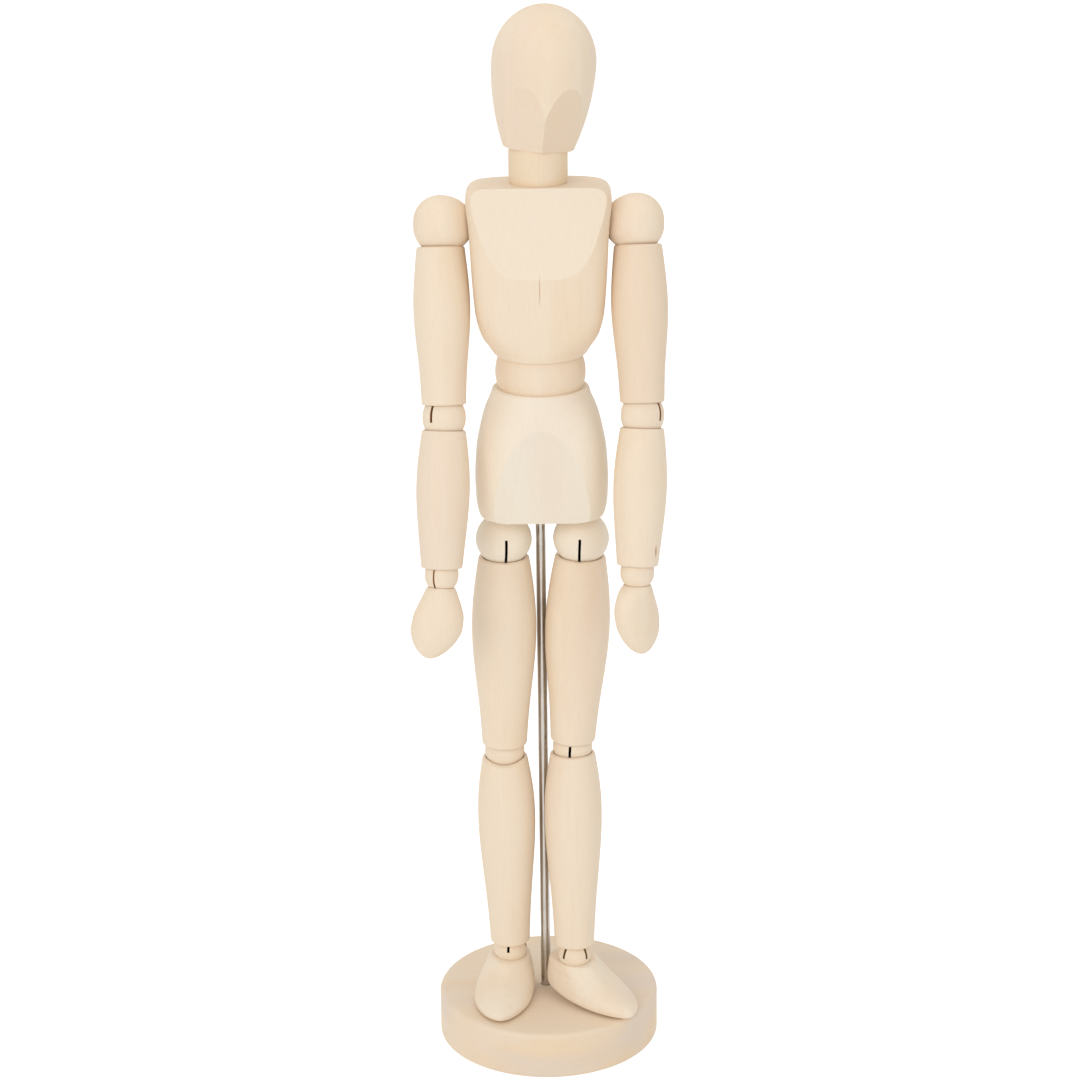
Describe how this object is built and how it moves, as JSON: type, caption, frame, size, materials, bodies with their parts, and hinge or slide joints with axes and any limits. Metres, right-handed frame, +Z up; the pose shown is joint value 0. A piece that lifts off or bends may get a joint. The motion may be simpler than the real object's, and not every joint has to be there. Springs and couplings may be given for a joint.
{
  "type": "artist mannequin",
  "caption": "Turned wooden artist mannequin with sprung ball joints, standing on a round wooden base with a steel rod; the joints hold a pose by friction.",
  "frame": {"origin": "centre of the underside of the round base", "axes": "+Z up, parallel to the stand rod, -Y the way the figure faces, +X to the left hand of the figure"},
  "size_m": [0.0702, 0.0643, 0.2996],
  "materials": {
    "pale_wood": "sanded, unvarnished, satin",
    "pelvis_wood": "sanded, unvarnished, satin",
    "base_wood": "sanded, unvarnished, satin",
    "steel": "polished",
    "spring_steel": "drawn wire"
  },
  "bodies": {
    "stand": {"base": "base_wood", "stand_rod": "steel"},
    "pelvis_body": {"pelvis": "pelvis_wood", "pelvis_pin": "steel", "right_hip_spring": "spring_steel", "left_hip_spring": "spring_steel"},
    "waist_body": {"waist": "pale_wood"},
    "chest_body": {"chest": "pale_wood", "neck_anchor_pin": "steel", "waist_anchor_pin": "steel", "shoulder_spring": "spring_steel", "waist_spring": "spring_steel"},
    "neck_body": {"neck": "pale_wood"},
    "head_body": {"head": "pale_wood", "head_pin": "steel", "neck_spring": "spring_steel"},
    "right_shoulder_body": {"right_shoulder_ball": "pale_wood", "right_shoulder_pin": "steel"},
    "right_upper_arm_body": {"right_upper_arm": "pale_wood", "right_upper_arm_spring": "spring_steel"},
    "right_elbow_body": {"right_elbow_ball": "pale_wood", "right_elbow_pin": "steel"},
    "right_forearm_body": {"right_forearm": "pale_wood", "right_forearm_spring": "spring_steel"},
    "right_wrist_body": {"right_wrist_ball": "pale_wood", "right_wrist_pin": "steel"},
    "right_hand_body": {"right_hand": "pale_wood"},
    "right_hip_body": {"right_hip_ball": "pale_wood", "right_hip_pin": "steel"},
    "right_thigh_body": {"right_thigh": "pale_wood", "right_thigh_spring": "spring_steel"},
    "right_knee_body": {"right_knee_ball": "pale_wood", "right_knee_pin": "steel"},
    "right_shin_body": {"right_shin": "pale_wood", "right_shin_spring": "spring_steel"},
    "right_ankle_body": {"right_ankle_ball": "pale_wood", "right_ankle_pin": "steel"},
    "right_foot_body": {"right_foot": "pale_wood"},
    "left_shoulder_body": {"left_shoulder_ball": "pale_wood", "left_shoulder_pin": "steel"},
    "left_upper_arm_body": {"left_upper_arm": "pale_wood", "left_upper_arm_spring": "spring_steel"},
    "left_elbow_body": {"left_elbow_ball": "pale_wood", "left_elbow_pin": "steel"},
    "left_forearm_body": {"left_forearm": "pale_wood", "left_forearm_spring": "spring_steel"},
    "left_wrist_body": {"left_wrist_ball": "pale_wood", "left_wrist_pin": "steel"},
    "left_hand_body": {"left_hand": "pale_wood"},
    "left_hip_body": {"left_hip_ball": "pale_wood", "left_hip_pin": "steel"},
    "left_thigh_body": {"left_thigh": "pale_wood", "left_thigh_spring": "spring_steel"},
    "left_knee_body": {"left_knee_ball": "pale_wood", "left_knee_pin": "steel"},
    "left_shin_body": {"left_shin": "pale_wood", "left_shin_spring": "spring_steel"},
    "left_ankle_body": {"left_ankle_ball": "pale_wood", "left_ankle_pin": "steel"},
    "left_foot_body": {"left_foot": "pale_wood"}
  },
  "joints": [
    {"name": "stand_turn", "type": "hinge", "parent": "stand", "child": "pelvis_body", "pos_m": [-0.00075, 0, 0.16075], "axis": [0, 0, 1], "continuous": true},
    {"name": "waist_bend", "type": "hinge", "parent": "pelvis_body", "child": "waist_body", "pos_m": [-0.00025, -0.0045, 0.20105], "axis": [1, 0, 0], "range_deg": [-20, 25], "deforming": ["waist_spring"]},
    {"name": "chest_turn", "type": "hinge", "parent": "waist_body", "child": "chest_body", "pos_m": [-0.00025, -0.0045, 0.20105], "axis": [0, 0, 1], "range_deg": [-50, 50], "deforming": ["waist_spring"]},
    {"name": "neck_nod", "type": "hinge", "parent": "chest_body", "child": "neck_body", "pos_m": [-0.00025, -0.0045, 0.25505], "axis": [1, 0, 0], "range_deg": [-20, 20], "deforming": ["neck_spring"]},
    {"name": "head_turn", "type": "hinge", "parent": "neck_body", "child": "head_body", "pos_m": [-0.00025, -0.0045, 0.2603], "axis": [0.0767, 0, 0.9971], "range_deg": [-80, 80], "deforming": ["neck_spring"]},
    {"name": "right_shoulder_swing", "type": "hinge", "parent": "chest_body", "child": "right_shoulder_body", "pos_m": [-0.0266, -0.0045, 0.24095], "axis": [-1, 0, 0], "range_deg": [-60, 165], "deforming": ["shoulder_spring"]},
    {"name": "right_shoulder_raise", "type": "hinge", "parent": "right_shoulder_body", "child": "right_upper_arm_body", "pos_m": [-0.0266, -0.0045, 0.24095], "axis": [0, 0.9763, -0.2164], "range_deg": [0, 70]},
    {"name": "right_elbow_bend", "type": "hinge", "parent": "right_upper_arm_body", "child": "right_elbow_body", "pos_m": [-0.02629, -0.01543, 0.19165], "axis": [-0.8187, 0.5655, -0.099], "range_deg": [-10, 50]},
    {"name": "right_forearm_twist", "type": "hinge", "parent": "right_elbow_body", "child": "right_forearm_body", "pos_m": [-0.02633, -0.01567, 0.19057], "axis": [-0.0314, -0.2163, -0.9758], "range_deg": [-90, 90], "deforming": ["right_forearm_spring"]},
    {"name": "right_wrist_bend", "type": "hinge", "parent": "right_forearm_body", "child": "right_wrist_body", "pos_m": [-0.02763, -0.02467, 0.14998], "axis": [-0.8973, 0.4392, -0.0444], "range_deg": [-40, 40]},
    {"name": "right_hand_twist", "type": "hinge", "parent": "right_wrist_body", "child": "right_hand_body", "pos_m": [-0.02763, -0.02467, 0.14998], "axis": [-0.0576, -0.2161, -0.9747], "range_deg": [-90, 90]},
    {"name": "right_hip_turn", "type": "hinge", "parent": "pelvis_body", "child": "right_hip_body", "pos_m": [-0.01098, -0.0045, 0.1534], "axis": [-0.0113, 0, -0.9999], "range_deg": [-5, 20], "deforming": ["right_hip_spring"]},
    {"name": "right_hip_bend", "type": "hinge", "parent": "right_hip_body", "child": "right_thigh_body", "pos_m": [-0.01098, -0.0045, 0.1534], "axis": [-0.9945, -0.1045, 0.0113], "range_deg": [0, 80]},
    {"name": "right_knee_twist", "type": "hinge", "parent": "right_thigh_body", "child": "right_knee_body", "pos_m": [-0.0117, -0.00395, 0.08991], "axis": [-0.0113, 0.0087, -0.9999], "range_deg": [-10, 60], "deforming": ["right_thigh_spring"]},
    {"name": "right_knee_bend", "type": "hinge", "parent": "right_knee_body", "child": "right_shin_body", "pos_m": [-0.0117, -0.00395, 0.08991], "axis": [-0.9999, 0, 0.0113], "range_deg": [0, 36]},
    {"name": "right_ankle_bend", "type": "hinge", "parent": "right_shin_body", "child": "right_ankle_body", "pos_m": [-0.01098, -0.00239, 0.02613], "axis": [-0.9903, 0.1392, 0], "range_deg": [0, 14]},
    {"name": "right_foot_turn", "type": "hinge", "parent": "right_ankle_body", "child": "right_foot_body", "pos_m": [-0.01098, -0.00239, 0.02613], "axis": [0, 0, -1], "range_deg": [-10, 45]},
    {"name": "left_shoulder_swing", "type": "hinge", "parent": "chest_body", "child": "left_shoulder_body", "pos_m": [0.0261, -0.0045, 0.24095], "axis": [-1, 0, 0], "range_deg": [-60, 165], "deforming": ["shoulder_spring"]},
    {"name": "left_shoulder_raise", "type": "hinge", "parent": "left_shoulder_body", "child": "left_upper_arm_body", "pos_m": [0.0261, -0.0045, 0.24095], "axis": [0, -0.9763, 0.2164], "range_deg": [0, 70]},
    {"name": "left_elbow_bend", "type": "hinge", "parent": "left_upper_arm_body", "child": "left_elbow_body", "pos_m": [0.02707, -0.01543, 0.19166], "axis": [-0.6013, -0.7743, 0.1975], "range_deg": [-10, 50]},
    {"name": "left_forearm_twist", "type": "hinge", "parent": "left_elbow_body", "child": "left_forearm_body", "pos_m": [0.02702, -0.01567, 0.19058], "axis": [0.0419, 0.2162, 0.9754], "range_deg": [-90, 90], "deforming": ["left_forearm_spring"]},
    {"name": "left_wrist_bend", "type": "hinge", "parent": "left_forearm_body", "child": "left_wrist_body", "pos_m": [0.02528, -0.02466, 0.15], "axis": [-0.0908, -0.9872, 0.1314], "range_deg": [-40, 40]},
    {"name": "left_hand_twist", "type": "hinge", "parent": "left_wrist_body", "child": "left_hand_body", "pos_m": [0.02528, -0.02466, 0.15], "axis": [0.0155, 0.1305, 0.9913], "range_deg": [-90, 90]},
    {"name": "left_hip_turn", "type": "hinge", "parent": "pelvis_body", "child": "left_hip_body", "pos_m": [0.01048, -0.0045, 0.1534], "axis": [0.0454, 0, 0.999], "range_deg": [-5, 30], "deforming": ["left_hip_spring"]},
    {"name": "left_hip_bend", "type": "hinge", "parent": "left_hip_body", "child": "left_thigh_body", "pos_m": [0.01048, -0.0045, 0.1534], "axis": [-0.9965, 0.0698, 0.0453], "range_deg": [0, 80]},
    {"name": "left_knee_twist", "type": "hinge", "parent": "left_thigh_body", "child": "left_knee_body", "pos_m": [0.00764, -0.00395, 0.09087], "axis": [0.0454, -0.0087, 0.9989], "range_deg": [-5, 45], "deforming": ["left_thigh_spring"]},
    {"name": "left_knee_bend", "type": "hinge", "parent": "left_knee_body", "child": "left_shin_body", "pos_m": [0.00764, -0.00395, 0.09087], "axis": [-0.9866, 0.1564, 0.0462], "range_deg": [0, 33]},
    {"name": "left_ankle_bend", "type": "hinge", "parent": "left_shin_body", "child": "left_ankle_body", "pos_m": [0.00765, -0.00829, 0.02721], "axis": [-0.682, -0.7314, 0], "range_deg": [0, 14]},
    {"name": "left_foot_turn", "type": "hinge", "parent": "left_ankle_body", "child": "left_foot_body", "pos_m": [0.00765, -0.00829, 0.02721], "axis": [0.0434, -0.0404, 0.9982], "range_deg": [-20, 45]}
  ]
}
